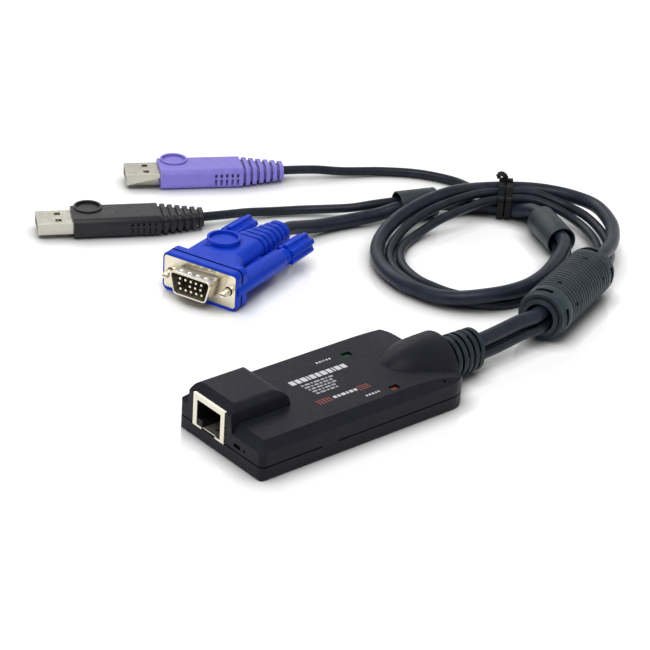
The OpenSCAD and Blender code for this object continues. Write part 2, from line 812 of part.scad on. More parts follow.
module gland_boot() {
    pitch = boot_length / boot_ribs;
    color("#3c484d")
        difference() {
            union() {
                translate([case_rear - 2 * case_wall, boot_y, boot_z])
                    rotate([0, 90, 0])
                        cylinder(r = boot_neck_radius, h = 2 * case_wall + pitch);
                // flange held inside the case
                intersection() {
                    translate([case_rear - case_wall - fit_gap - boot_flange_thickness, cable_hump_y,
                        cable_hump_z])
                        rotate([0, 90, 0])
                            cylinder(r = boot_flange_radius, h = boot_flange_thickness);
                    above_seam(case_wall + fit_gap);
                }
                translate([0, boot_y, boot_z])
                    for (i = [0:boot_ribs - 1]) {
                        from = case_rear + fit_gap + i * pitch;
                        rib = pitch - boot_groove_length;
                        share = (i + 1) / boot_ribs;
                        along_x(from, from + rib)
                            boot_outline(share, 0);
                        along_x(from + rib - cut_over / 4, from + (i == boot_ribs - 1 ? rib : pitch))
                            boot_outline(share, boot_groove);
                        // the solid bands that break the grooves are staggered from rib to rib
                        if (i < boot_ribs - 1)
                            along_x(from, from + pitch + cut_over / 4)
                                intersection() {
                                    boot_outline((i + 2) / boot_ribs, boot_groove / 4);
                                    rotate(i % 2 == 0 ? 0 : 90)
                                        square([4 * boot_half_height, boot_half_height / 2], center = true);
                                }
                    }
            }
            // channels for the three cables
            for (c = [[boot_y, boot_z + bundle_rise, video_radius],
                [boot_y - bundle_side, boot_z - bundle_drop, usb_radius],
                [boot_y + bundle_side, boot_z - bundle_drop, usb_radius]])
                translate([case_rear - case_length / 4, c[0], c[1]])
                    rotate([0, 90, 0])
                        cylinder(r = c[2] + channel_gap, h = case_length / 2);
        }
}

module video_cable() {
    color("#3a3e48")
        tube(halved(video_route), video_radius);
}

module purple_usb_cable() {
    color("#34373d")
        tube(halved(purple_route), usb_radius);
}

module black_usb_cable() {
    color("#2e3035")
        tube(halved(black_route), usb_radius);
}

// Frame of the ferrite: local z runs along its axis
module at_ferrite() {
    translate([ferrite_start[0], ferrite_start[1], ferrite_d / 2])
        rotate([0, 0, ferrite_turn])
            rotate([0, 90, 0])
                children();
}

module ferrite_cover() {
    radius = ferrite_d / 2;
    bore = ferrite_bore / 2;
    ridge_from = (ferrite_length - ridge_zone) / 2;
    ridge_pitch = ridge_zone / ferrite_ridges;
    rim_end = boss_height + rim_length;
    end_outline = [[bore, 0], [boss_d / 2, 0], [boss_d / 2, boss_height], [radius - rim_step, boss_height],
        [radius - rim_step, rim_end], [radius, rim_end + rim_step]];
    ridges = [for (i = [0:ferrite_ridges - 1], k = [0:3]) [radius - (k == 1 || k == 2 ? ridge_depth : 0),
        ridge_from + (i + ridge_shares[k]) * ridge_pitch]];
    color("#3f4b50")
        difference() {
            at_ferrite()
                rotate_extrude($fn = 48)
                    polygon(concat(end_outline, ridges,
                        [for (i = [len(end_outline) - 1:-1:0])
                            [end_outline[i][0], ferrite_length - end_outline[i][1]]]));
            at_ferrite()
                translate([0, 0, (ferrite_length - core_length) / 2 - fit_gap])
                    cylinder(d = core_d + 2 * fit_gap, h = core_length + 2 * fit_gap);
            for (z = [slot_inset, ferrite_length - slot_inset - slot_length], i = [0:slot_count - 1])
                at_ferrite()
                    translate([0, 0, z])
                        rotate([0, 0, 360 * i / slot_count - slot_angle / 2 + slot_turn])
                            rotate_extrude(angle = slot_angle)
                                translate([radius - slot_depth, 0])
                                    square([slot_depth + cut_over, slot_length]);
            for (z = [ferrite_dot_inset, ferrite_length - ferrite_dot_inset], turn = ferrite_dot_turns)
                at_ferrite()
                    translate([0, 0, z])
                        rotate([0, 90, turn])
                            translate([0, 0, radius - slot_depth / 2])
                                cylinder(d = ferrite_dot_d, h = cut_over + slot_depth, $fn = 16);
        }
}

module ferrite_core() {
    color("#55585c")
        at_ferrite()
            translate([0, 0, (ferrite_length - core_length) / 2])
                difference() {
                    cylinder(d = core_d, h = core_length);
                    translate([0, 0, -cut_over])
                        cylinder(d = ferrite_bore, h = core_length + 2 * cut_over);
                }
}

// A cable sleeve lying on the surface
module sleeve(start, turn, length) {
    translate([start[0], start[1], sleeve_d / 2])
        rotate([0, 0, turn])
            rotate([0, 90, 0])
                difference() {
                    cylinder(d = sleeve_d, h = length);
                    translate([0, 0, -cut_over])
                        cylinder(d = sleeve_bore, h = length + 2 * cut_over);
                }
}

module near_sleeve() {
    color("#454c51")
        sleeve(near_sleeve_start, near_sleeve_turn, near_sleeve_length);
}

module far_sleeve() {
    color("#454c51")
        sleeve(far_sleeve_start, far_sleeve_turn, far_sleeve_length);
}

// Where the strands of a route cross the tie: out from the loop, along the bundle and up
function tie_local(p) = let (d = [p[0] - tie_place[0], p[1] - tie_place[1]])
    [d * [cos(tie_turn), sin(tie_turn)], d * [-sin(tie_turn), cos(tie_turn)], p[2]];
function crossing(a, b, along, radius) = let (u = (along - a[1]) / (b[1] - a[1]))
    [a[0] + u * (b[0] - a[0]), a[2] + u * (b[2] - a[2]), radius];
function strands(route, radius) = [for (along = [-tie_half, 0, tie_half], i = [0:len(route) - 2])
    let (a = tie_local(route[i]), b = tie_local(route[i + 1]))
    if ((a[1] - along) * (b[1] - along) < 0 && abs(a[0]) < tie_reach) crossing(a, b, along, radius)];
tie_strands = concat(strands(halved(video_route), video_radius), strands(halved(purple_route), usb_radius),
    strands(halved(black_route), usb_radius));
tie_top = max([for (s = tie_strands) s[1] + s[2]]) + fit_gap + tie_thickness;
tie_top_side = max([for (s = tie_strands)
    s[1] + s[2] + fit_gap + tie_thickness > tie_top - hair ? s[0] : -tie_reach]);

// Outline round the strands that the tie holds
module tie_outline(extra) {
    intersection() {
        hull()
            for (s = tie_strands)
                translate([s[0], s[1]])
                    circle(s[2] + extra, $fn = 20);
        translate([-case_width, hair])
            square([2 * case_width, case_width]);
    }
}

module twist_tie() {
    color("#15161a")
        translate([tie_place[0], tie_place[1], 0])
            rotate([0, 0, tie_turn]) {
                for (s = [-1, 1])
                    translate([0, s * (tie_width + tie_wrap_gap) / 2, 0])
                        rotate([90, 0, 0])
                            linear_extrude(tie_width, center = true)
                                difference() {
                                    tie_outline(fit_gap + tie_thickness);
                                    tie_outline(fit_gap);
                                }
                // twisted knot that joins the two wraps
                translate([tie_top_side, 0, tie_top])
                    cube([tie_knot, 2 * tie_half, tie_thickness * 1.5], center = true);
            }
}

// Frame of the video plug: local x runs back from its metal flange
module at_video() {
    translate(video_place)
        rotate([0, 0, video_turn])
            children();
}

// D shaped outline, wide side up
module d_outline(inset) {
    top = dshell_top_width / 2 - inset;
    half = dshell_height / 2 - inset;
    base = top - 2 * half * tan(dshell_slant);
    corner = max(dshell_corner - inset, least_round);
    lean = 90 - dshell_slant;
    polygon(concat(arc([corner - top, half - corner], corner, 90, 90 + lean + 2 * dshell_slant, 4),
        arc([corner - base, corner - half], corner, 180 + dshell_slant, 270, 4),
        arc([base - corner, corner - half], corner, 270, 360 - dshell_slant, 4),
        arc([top - corner, half - corner], corner, -dshell_slant, 90, 4)));
}

// Block of the video hood with its half width, half height and corner, from one x to another
module hood_block(from, to, half, corner) {
    along_x(from, to)
        round_rect(2 * half, min(corner, half[1] - hair));
}

// Blends one outline of the hood into the next
module hood_blend(from, from_half, from_corner, to, to_half) {
    hull() {
        hood_block(from, from + hood_slice, from_half, from_corner);
        hood_block(to - hood_slice, to, to_half, hood_corner);
    }
}

module video_hood() {
    half = [video_width, video_height] / 2;
    rib_pitch = video_rib_length / video_rib_count;
    web_length = screw_sleeve_end - web_setback;
    ring_top = half[1] + grip_ring_rise;
    color("#1f3fc4")
        at_video()
            difference() {
                union() {
                    hood_block(-flange_size[0], rim_front_depth, half, video_corner);
                    hood_block(0, rim_depth, half - [rim_inset, rim_inset], video_corner);
                    hood_block(rim_front_depth + rim_groove_length, rim_depth, half, video_corner);
                    // flare behind the rim
                    hood_blend(rim_depth - hood_slice, arch_half, video_corner, rim_depth + arch_length,
                        hood_start_half);
                    hood_blend(rim_depth, hood_start_half, hood_corner, hood_end_x, hood_end_half);
                    for (i = [0:video_rib_count - 1]) {
                        from = hood_end_x + i * rib_pitch;
                        share = (i + 1) / video_rib_count;
                        rib_half = hood_end_half + (video_tail_half - hood_end_half) * share;
                        hood_block(from - cut_over / 4, from + rib_pitch,
                            rib_half - [video_rib_groove, video_rib_groove], hood_corner);
                        hood_block(from + video_rib_groove_length, from + rib_pitch, rib_half, hood_corner);
                    }
                    for (s = [-1, 1]) {
                        translate([0, s * screw_spacing / 2, 0])
                            rotate([0, 90, 0])
                                cylinder(d = screw_sleeve_d, h = screw_sleeve_end);
                        translate([web_length / 2, s * screw_spacing / 4, 0])
                            cube([web_length, screw_spacing / 2, screw_sleeve_d * 0.6], center = true);
                    }
                    translate([grip_ring_place[0], grip_ring_place[1], -grip_ring_foot])
                        cylinder(d = grip_ring_d + 2 * grip_ring_width, h = grip_ring_foot + ring_top);
                }
                // seat of the metal flange
                along_x(-flange_size[0] - cut_over, 0)
                    square([flange_size[1] + fit_gap, flange_size[2] + fit_gap], center = true);
                for (s = [-1, 1])
                    translate([-cut_over, s * screw_spacing / 2, 0])
                        rotate([0, 90, 0])
                            cylinder(d = screw_d + 2 * fit_gap, h = screw_sleeve_end + 2 * cut_over);
                translate([grip_ring_place[0], grip_ring_place[1], ring_top - grip_dish_depth])
                    cylinder(d = grip_ring_d, h = grip_dish_depth + cut_over);
            }
}

module video_shield() {
    color("#cfc9b8")
        at_video()
            difference() {
                union() {
                    along_x(-flange_size[0], 0)
                        round_rect([flange_size[1], flange_size[2]], flange_corner);
                    along_x(-flange_size[0] - dshell_reach, 0)
                        d_outline(0);
                }
                along_x(-flange_size[0] - dshell_reach - cut_over, cut_over)
                    d_outline(dshell_wall);
                for (s = [-1, 1])
                    translate([-cut_over - flange_size[0], s * screw_spacing / 2, 0])
                        rotate([0, 90, 0])
                            cylinder(d = screw_d + 2 * fit_gap, h = flange_size[0] + 2 * cut_over);
            }
}

module video_insulator() {
    color("#17181c")
        at_video()
            along_x(-flange_size[0] - dshell_wall, 0)
                d_outline(dshell_wall);
}

module video_pins() {
    color("#d9d4c4")
        at_video()
            for (row = [-1:1], i = [-2:2])
                if ([row, i] != missing_pin)
                    translate([-flange_size[0] - dshell_wall - pin_reach,
                        i * pin_pitch + (row == 0 ? pin_pitch / 4 : 0) - (row == 1 ? 0 : pin_pitch / 8),
                        row * pin_row_pitch])
                        rotate([0, 90, 0])
                            cylinder(d = pin_d, h = pin_reach, $fn = 16);
}

// Fluted knob of one thumbscrew, on the side given by its sign
module thumb_knob(side) {
    radius = knob_d / 2;
    at_video()
        translate([screw_sleeve_end + knob_gap, side * screw_spacing / 2, 0])
            rotate([0, 90, 0])
                difference() {
                    union() {
                        cylinder(r = radius * knob_waist_share, h = knob_waist_length + cut_over);
                        translate([0, 0, knob_waist_length])
                            cylinder(r = radius, h = knob_length - knob_waist_length);
                    }
                    for (i = [0:knob_flutes - 1])
                        rotate([0, 0, 360 * (i + 0.5) / knob_flutes])
                            translate([radius + knob_flute_d / 5, 0, knob_waist_length])
                                cylinder(d = knob_flute_d, h = knob_length + cut_over, $fn = 24);
                    translate([0, 0, -cut_over])
                        cylinder(d = screw_shank_d, h = knob_length - knob_waist_length + cut_over);
                }
}

// Screw of one thumbscrew: a thread ahead of the flange on a thinner shank that ends in the knob
module thumb_screw(side) {
    shank_end = screw_sleeve_end + knob_gap + knob_length - knob_waist_length;
    at_video()
        translate([-screw_reach, side * screw_spacing / 2, 0])
            rotate([0, 90, 0]) {
                cylinder(d = screw_d, h = screw_reach - flange_size[0] - fit_gap);
                cylinder(d = screw_shank_d, h = screw_reach + shank_end);
            }
}

module left_thumbscrew_knob() {
    color("#1c3ab8")
        thumb_knob(1);
}

module left_thumbscrew() {
    color("#c8c2ae")
        thumb_screw(1);
}

module right_thumbscrew_knob() {
    color("#1c3ab8")
        thumb_knob(-1);
}

module right_thumbscrew() {
    color("#c8c2ae")
        thumb_screw(-1);
}

// Frame of one USB plug: local x runs back from the front of its grip
module at_usb(place, turn) {
    translate([place[0], place[1], usb_grip_height / 2])
        rotate([0, 0, turn])
            children();
}

module usb_grip(place, turn) {
    half = usb_grip_height / 2;
    ring_y = usb_grip_width / 2 - usb_ring_d / 2 + usb_ring_out;
    rib_pitch = (usb_grip_length - usb_body_end) / usb_rib_count;
    at_usb(place, turn)
        difference() {
            union() {
                along_x(0, usb_body_end)
                    round_rect([usb_grip_width, usb_grip_height], usb_corner);
                for (i = [0:usb_rib_count - 1]) {
                    from = usb_body_end + i * rib_pitch;
                    size = usb_rib_start + (usb_rib_end - usb_rib_start) * i / (usb_rib_count - 1);
                    groove = [usb_rib_groove, usb_rib_groove];
                    along_x(from - cut_over / 4, from + rib_pitch)
                        round_rect(size - 2 * groove, usb_rib_corner - usb_rib_groove);
                    along_x(from + usb_rib_groove_length, from + rib_pitch)
                        round_rect(size, usb_rib_corner);
                }
                translate([usb_ring_x, ring_y, 0])
                    cylinder(d = usb_ring_d + 2 * usb_ring_width, h = half + usb_ring_rise);
            }
            translate([usb_ring_x, ring_y, half + usb_ring_rise - usb_dish_depth])
                cylinder(d = usb_ring_d, h = usb_dish_depth + cut_over);
            along_x(-cut_over, usb_shell_reach / 2)
                square([usb_shell_width, usb_shell_height], center = true);
            // short slots high on the sides and long ones that run out below
            for (i = [0:usb_slot_columns - 1], s = [-1, 1],
                span = [usb_slot_high, [-half - cut_over, usb_slot_low_top]])
                translate([usb_slot_from + (usb_slot_to - usb_slot_from) * i / usb_slot_columns,
                    s * usb_grip_width / 2, (span[0] + span[1]) / 2])
                    cube([usb_slot_width, 2 * usb_slot_depth, span[1] - span[0]], center = true);
        }
}

module usb_shell(place, turn) {
    at_usb(place, turn)
        difference() {
            along_x(-usb_shell_reach, usb_shell_reach / 2)
                square([usb_shell_width, usb_shell_height], center = true);
            along_x(-usb_shell_reach - cut_over, usb_shell_reach / 2 - usb_shell_wall)
                square([usb_shell_width - 2 * usb_shell_wall, usb_shell_height - 2 * usb_shell_wall],
                    center = true);
            for (s = [-1, 1])
                translate([-usb_window_x - usb_window / 2, s * usb_window_y - usb_window / 2, 0])
                    cube([usb_window, usb_window, usb_shell_height]);
        }
}

module usb_tongue(place, turn) {
    width = usb_shell_width - 2 * usb_shell_wall;
    at_usb(place, turn)
        translate([-usb_shell_reach + usb_tongue_setback, -width / 2, usb_shell_wall - usb_shell_height / 2])
            cube([usb_shell_reach * 1.5 - usb_tongue_setback - usb_shell_wall, width, usb_tongue_height]);
}

module usb_contacts(place, turn) {
    at_usb(place, turn)
        for (i = [0:usb_contact_count - 1])
            translate([-usb_shell_reach + 2 * usb_tongue_setback,
                (i - (usb_contact_count - 1) / 2) * usb_contact_pitch - usb_contact_width / 2,
                usb_shell_wall - usb_shell_height / 2 + usb_tongue_height])
                cube([usb_shell_reach * 0.7, usb_contact_width, usb_contact_height]);
}

module purple_usb_grip() {
    color("#8f83d8")
        usb_grip(purple_place, purple_turn);
}

module purple_usb_shell() {
    color("#c6c6c4")
        usb_shell(purple_place, purple_turn);
}

module purple_usb_tongue() {
    color("#f0f0ee")
        usb_tongue(purple_place, purple_turn);
}

module purple_usb_contacts() {
    color("#d8b45a")
        usb_contacts(purple_place, purple_turn);
}

module black_usb_grip() {
    color("#3a383c")
        usb_grip(black_place, black_turn);
}

module black_usb_shell() {
    color("#c6c6c4")
        usb_shell(black_place, black_turn);
}

module black_usb_tongue() {
    color("#f0f0ee")
        usb_tongue(black_place, black_turn);
}

module black_usb_contacts() {
    color("#d8b45a")
        usb_contacts(black_place, black_turn);
}

upper_shell();
lower_shell();
circuit_board();
control_chip();
video_chip();
clock_crystal();
network_shield();
network_insert();
network_contacts();
online_lens();
power_lens();
cable_header();
gland_boot();
video_cable();
purple_usb_cable();
black_usb_cable();
ferrite_cover();
ferrite_core();
near_sleeve();
far_sleeve();
twist_tie();
video_hood();
video_shield();
video_insulator();
video_pins();
left_thumbscrew_knob();
left_thumbscrew();
right_thumbscrew_knob();
right_thumbscrew();
purple_usb_grip();
purple_usb_shell();
purple_usb_tongue();
purple_usb_contacts();
black_usb_grip();
black_usb_shell();
black_usb_tongue();
black_usb_contacts();
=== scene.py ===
# Network socket to video and USB lead, dressed for the picture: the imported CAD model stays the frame, and
# this script adds the photographed view, light, finishes, swept cables and small detail round it.
import math

import bmesh
import bpy
from mathutils import Matrix, Vector


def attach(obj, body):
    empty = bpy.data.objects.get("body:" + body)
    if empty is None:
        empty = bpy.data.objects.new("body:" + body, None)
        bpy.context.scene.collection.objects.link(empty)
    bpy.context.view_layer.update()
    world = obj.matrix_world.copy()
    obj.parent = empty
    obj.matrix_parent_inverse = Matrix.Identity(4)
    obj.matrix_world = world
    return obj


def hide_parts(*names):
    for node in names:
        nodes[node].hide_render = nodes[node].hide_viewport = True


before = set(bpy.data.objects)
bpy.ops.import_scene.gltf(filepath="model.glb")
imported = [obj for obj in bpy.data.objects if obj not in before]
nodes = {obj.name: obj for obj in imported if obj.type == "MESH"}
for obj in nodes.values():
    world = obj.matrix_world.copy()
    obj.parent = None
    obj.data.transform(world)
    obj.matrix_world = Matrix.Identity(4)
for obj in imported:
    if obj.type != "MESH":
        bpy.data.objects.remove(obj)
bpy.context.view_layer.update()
scene = bpy.context.scene
MM = 0.001

# Camera at the photograph's angle, in millimetres and degrees
CAMERA_PLACE = (-428.6, -478.2, 366.0)
CAMERA_TARGET = (40.17, 49.20, 0.0)
CAMERA_ROLL = 3.83
CAMERA_LENS = 124.18
CAMERA_SENSOR = 36
CAMERA_NEAR = 0.01
CAMERA_FAR = 20

# Routes of the three cables in millimetres, the same points as in the part's source
LOOP_CENTRE = (133, 55.5)
LOOP_RADIUS = 47
LOOP_OVAL = 5
LOOP_TILT = 5
LOOP_STEP = 15
LOOP_END = 180
TIE_DRAW = 2.4
LEAN_DRAW = 6.6
START_DRAW = 1.8
LEAN_LIFT = 2.8
VIDEO_HIGH = 8.9
VIDEO_LOW = 3.4
PURPLE_INSET = 5
PURPLE_START_DRAW = 0.4
PURPLE_START_DROP = 2.9
PURPLE_LIFT = 0.5
PURPLE_LOW_DROP = 0.8
BLACK_INSET = 8.5
BLACK_START_DRAW = 0.9
BLACK_LOW_DRAW = 0.6
BLACK_START = 4.2
BLACK_HIGH = 8
VIDEO_D = 5.4
USB_D = 3.5
HAIR = 0.02
CURVE_STEPS = 5
CABLE_FACETS = 7

# Where on the loop its width changes: the middle and the spread of each change, in degrees
TIE_PART = (40, 22)
LEAN_PART = (84, 30)
LEAN_LIFT_PART = (84, 22)
START_PART = (0, 25)
LEAD_PART = (0, 12)

# Where on the loop its height changes: from and to, in degrees
VIDEO_FALL = (96, 150)
PURPLE_CLIMB = (5, 32)
PURPLE_FALL = (55, 85)
PURPLE_SETTLE = (100, 140)
BLACK_CLIMB = (0, 32)
BLACK_CLOSE = (60, 90)
BLACK_FALL = (88, 130)

# Plain bars printed on the lid where lettering would be: finish, left end, y, height, widths of its blocks
LID_TOP = 13
PRINT_THICK = 0.03
PRINT_GAP = 0.5
PRINT_ROUND = 0.2
PRINT_ROUND_SHARE = 1 / 3
PRINT_CORNER_STEPS = 3
DASH = 0.7
DASH_HEIGHT = 0.6
DASH_ROWS = (-8.9, -9.9, -10.9)
DASH_BLOCKS = ((-13.2, 5), (4.0, 4))
PRINT_ROWS = [
    ("print", -12.9, 4.6, 2.6, (2.0, 1.8, 2.1, 0.7, 1.9, 1.7, 2.1, 1.8, 0.7, 2.0, 1.9)),
    ("print_grey", -10.8, 1.5, 0.9, (1.1, 2.0, 0.8, 2.4, 1.5, 0.7, 1.9)),
    ("print_grey", -10.5, -0.1, 0.9, (2.2, 0.9, 1.6, 1.1, 2.0, 1.4)),
    ("print_grey", -10.2, -1.7, 0.9, (0.8, 1.7, 2.5, 1.0, 1.3, 1.8)),
    ("print_grey", -9.9, -3.3, 0.9, (1.9, 1.2, 0.7, 2.3, 1.6)),
    ("print_grey", -9.6, -4.9, 0.9, (1.4, 2.1, 1.0, 1.7, 0.9)),
    ("print", -6.6, -9.9, 1.4, (1.3, 1.0, 1.7, 0.8, 1.4, 1.2)),
    ("print", 3.3, 11.0, 0.9, (0.8, 0.7, 0.4, 0.4, 0.7, 0.8)),
    ("print", 2.9, -15.0, 0.9, (0.7, 0.8, 0.9, 0.7, 0.6)),
    *(("print_red", left, y, DASH_HEIGHT, (DASH,) * count) for left, count in DASH_BLOCKS for y in DASH_ROWS),
]

# Video plug: its place, its shell, the stamped domes on it and its thumbscrews
VIDEO_PLACE = (15.1, 89.5, 7.5)
VIDEO_TURN = 18.3
FLANGE = 0.8
SHELL_TOP = 16.9
SHELL_HEIGHT = 8.4
SHELL_SLANT = 10
SHELL_CORNER = 1.5
SHELL_LEAST_CORNER = 0.3
SHELL_CORNER_STEPS = 6
SHELL_REACH = 6.2
DIMPLES = 4
DIMPLE_PITCH = 3.5
DIMPLE_R = 1.2
DIMPLE_RISE = 0.35
DIMPLE_SINK = 0.02
DIMPLE_PLACE_SHARE = 0.52
DIMPLE_RINGS = (1.0, 0.86, 0.64, 0.36)
DIMPLE_STEPS = 20
SCREW_SPACING = 25
SCREW_REACH = 4.2
SCREW_R = 1.42
SLOT_HALF = 0.3
TIP_STEPS = 14

# Section of the rolled front edge: how far in from the shell's outline, and how far back from its front
LIP_SECTION = (
    (-0.05, 0.75), (-0.32, 0.55), (-0.36, 0.2), (-0.22, -0.12), (0.1, -0.22), (0.4, -0.08), (0.45, 0.3),
)

# Section of a screw's tip: share of its radius, and how far back from its front
TIP_SECTION = ((1.0, 0.05), (1.0, -0.25), (0.8, -0.6))

# Twisted ends of the tie
TIE_PLACE = (162, 84.6, 0)
TIE_TURN = 45
TIE_TOP_SIDE = 2.1
TIE_END_ROUTE = ((0, 0, 13.6), (0.8, 0.6, 14.4), (2.6, 1.6, 14.4), (5, 2.6, 13.2), (6.8, 3.2, 11.2))
TIE_END_R = 0.55
TIE_END_TWIST = 0.55
TIE_END_STEPS = 8
TIE_END_FACETS = 3

# Rounds on the edges of the solids, in millimetres and degrees; the weld is in metres
WELD_GAP = 0.000002
EDGE_SEGMENTS = 2
EDGE_ANGLE = 40

# Fineness of the noise, the part of it that tint and roughness go over, and the occlusion range and samples of
# the painted shade in deep folds
TINT_DETAIL = 3.0
POLISH_DETAIL = 4.0
GRAIN_DETAIL = 2.0
TINT_SPAN = (0.35, 0.65)
BOARD_TINT_SPAN = (0.45, 0.5)
POLISH_SPAN = (0.3, 0.7)
FOLD_SHADE_SPAN = (0.35, 0.85)
METAL_FOLD_SHADE_SPAN = (0.4, 0.95)
PIT_FOLD_SHADE_SPAN = (0.55, 0.95)
FOLD_SHADE_SAMPLES = 6

# Room and table, in metres
ROOM_LIGHT = 0.22
MIRRORED_ROOM = 0.7
FLOOR_HALF = 3.0
FLOOR_CENTRE = (0.07, 0.07, -0.0001)
FLOOR_TONE = 0.95
FLOOR_ROUGHNESS = 0.6
FLOOR_GLOSS = 0.2
FLOOR_GLOW = 0.5
FLOOR_WHITE = 1.75
FLOOR_POLISH = 0.17
FLOOR_BLUR = 0.1
# Painted contact shadow: the floor's glow dims by ambient occlusion within this reach of the object
CONTACT_SHADOW_REACH = 0.008
CONTACT_SHADOW_DEEP = 0.4
CONTACT_SHADOW_SAMPLES = 12

# Lamps: name, place, width and depth, power in watts; all of them look at one point
LAMP_TARGET = (0.06, 0.06, 0)
LAMPS = (
    ("key", (-0.35, -0.15, 0.9), (0.7, 0.7), 5.4),
    ("fill", (0.7, -0.7, 0.7), (0.8, 0.5), 0.5),
    ("back", (0.2, 0.9, 0.7), (0.9, 0.4), 2.6),
)


def smooth(t):
    """Eases from 0 to 1 while t goes from 0 to 1."""
    u = min(1, max(0, t))
    return u * u * (3 - 2 * u)


def mix(a, span, low, high):
    """Eases from low to high while a goes over the span."""
    start, end = span
    return low + (high - low) * smooth((a - start) / (end - start))


def bump(a, part):
    """A bell of height 1 round the middle of a part of the loop."""
    middle, spread = part
    return math.exp(-(((a - middle) / spread) ** 2))


def video_out(a):
    """How far outside the loop's oval the video cable lies at an angle."""
    return -TIE_DRAW * bump(a, TIE_PART) - LEAN_DRAW * bump(a, LEAN_PART) - START_DRAW * bump(a, START_PART)


def video_rise(a):
    """The video cable's height at an angle."""
    return mix(a, VIDEO_FALL, VIDEO_HIGH, VIDEO_LOW) + LEAN_LIFT * bump(a, LEAN_LIFT_PART)


def purple_out(a):
    """How far outside the loop's oval the purple plug's cable lies at an angle."""
    return video_out(a) - PURPLE_INSET - PURPLE_START_DRAW * bump(a, LEAD_PART)


def purple_rise(a):
    """The height of the purple plug's cable at an angle."""
    return (
        video_rise(a)
        + mix(a, PURPLE_CLIMB, -PURPLE_START_DROP, PURPLE_LIFT)
        - mix(a, PURPLE_FALL, 0, PURPLE_LIFT + PURPLE_LOW_DROP)
        - mix(a, PURPLE_SETTLE, 0, PURPLE_LOW_DROP)
    )


def black_out(a):
    """How far outside the loop's oval the black plug's cable lies at an angle."""
    closer = BLACK_START_DRAW * bump(a, LEAD_PART) + mix(a, BLACK_CLOSE, 0, BLACK_LOW_DRAW)
    return video_out(a) - BLACK_INSET - closer


def black_rise(a):
    """The height of the black plug's cable at an angle."""
    return mix(a, BLACK_CLIMB, BLACK_START, BLACK_HIGH) - mix(a, BLACK_FALL, 0, BLACK_HIGH - USB_D / 2 - HAIR)


def loop(out, rise):
    """The points of a cable on the round part of the coil."""
    points = []
    for a in range(0, LOOP_END + 1, LOOP_STEP):
        r = LOOP_RADIUS + LOOP_OVAL * math.cos(math.radians(2 * (a - LOOP_TILT))) + out(a)
        t = math.radians(a)
        points.append((LOOP_CENTRE[0] + r * math.cos(t), LOOP_CENTRE[1] + r * math.sin(t), rise(a)))
    return points


VIDEO_ROUTE = [
    (45, -3.5, 9.8), (62, -3.5, 9.8), (72, -3.2, 10.2), (84, -2.6, 11), (95, -2, 11.15), (118.2, 7.2, 11.15),
    (141.4, 16.5, 11.15), (150.6, 20.4, 10.8), (160, 25.4, 9.8), (169, 32.6, 9.2), (177, 41.8, 8.9),
    *loop(video_out, video_rise),
    (82, 46.5, 3.6), (84, 38.8, 3.8), (88.2, 31.8, 4.8), (94.5, 26.2, 6.2), (103, 22.8, 6.8), (113, 22.2, 6.9),
    (123.5, 24.6, 6.9), (133.5, 28.8, 7.1), (142, 33.6, 7.4), (148.5, 38.2, 7.6), (152.6, 43.5, 7.7),
    (156.6, 53, 7.7), (160.5, 62.6, 7.7), (161.6, 69.5, 6.9), (160.8, 76.4, 4.1), (159.5, 82, 3),
    (155.9, 86.9, 2.9), (150.4, 90.5, 3.2), (143.4, 93.4, 4.6), (135.6, 95.9, 5.8), (128, 98.3, 5.8),
    (120.4, 100.8, 5.8), (112.5, 103.6, 4), (104, 106.4, 3), (95, 108.4, 2.8), (86, 109.2, 3.4),
    (78, 109, 5), (71, 107.8, 6.8), (64.1, 105.7, 7.5),
]
PURPLE_ROUTE = [
    (45, -5.4, 5.3), (62, -5.4, 5.3), (72, -5.1, 5.5), (84, -4.5, 6.4), (95.7, -3.9, 6.65), (118.9, 5.3, 6.65),
    (142.1, 14.6, 6.65), (151.4, 19, 6.2), (160.4, 25, 4.9), (168.4, 33.8, 4.7), (174.4, 43.8, 5.1),
    *loop(purple_out, purple_rise),
    (86.6, 47.5, 1.8), (88.2, 40, 1.8), (91.6, 33, 1.8), (96.6, 27, 1.8), (104, 22.8, 1.8), (114, 21.7, 1.8),
    (123.5, 24, 1.8), (133.5, 28.4, 1.9), (142.5, 33.2, 2.4), (149.8, 37.6, 2.9), (154.4, 42.8, 3.2),
    (158.4, 52.3, 3.2), (162.3, 61.9, 3.2), (166.2, 69, 2.8), (168.6, 76, 2.7), (168.2, 82.6, 3.4),
    (165.7, 88.3, 4), (164.6, 96, 2.6), (164.4, 105, 1.8), (163, 115.5, 1.8), (156, 128, 1.8),
    (144.8, 138, 1.8), (130, 145.6, 2.4), (119, 150.8, 3.8), (107, 157, 4),
]
BLACK_ROUTE = [
    (45, -1.6, 5.3), (62, -1.6, 5.3), (72, -1.3, 5.5), (84, -0.7, 6.4), (94.3, -0.2, 6.65), (117.5, 9, 6.65),
    (140.7, 18.3, 6.65), (149.6, 22.8, 6), (157.6, 28.8, 4.2), (165, 36.6, 4), (170.4, 45.8, 4),
    *loop(black_out, black_rise),
    (90.8, 48.5, 1.8), (92.4, 41.4, 1.8), (95.8, 35, 1.8), (101, 29.6, 1.8), (108, 26.8, 1.8), (117, 27, 1.8),
    (126.5, 30, 1.9), (135, 34, 2.3), (141.8, 37.2, 2.7), (147, 40.4, 3), (151, 44.6, 3.2), (154.8, 53.7, 3.2),
    (158.7, 63.3, 3.2), (162.6, 70, 1.8), (164.7, 76.6, 1.8), (164.6, 81.6, 1.8), (163.1, 85.7, 1.9),
    (160.2, 89.6, 1.8), (156, 93, 1.8), (150.5, 95.9, 2.8), (144.5, 98.2, 4.6), (137.1, 100.5, 6.4),
    (129.5, 102.9, 6.4), (121.9, 105.4, 6.4), (114, 108.8, 5.8), (107, 113.2, 4.4), (100, 119.8, 3),
    (92, 126, 2.2), (82, 131.2, 2), (72, 134.4, 2.8), (62.4, 135.6, 3.8), (52.9, 138.4, 4.1),
]


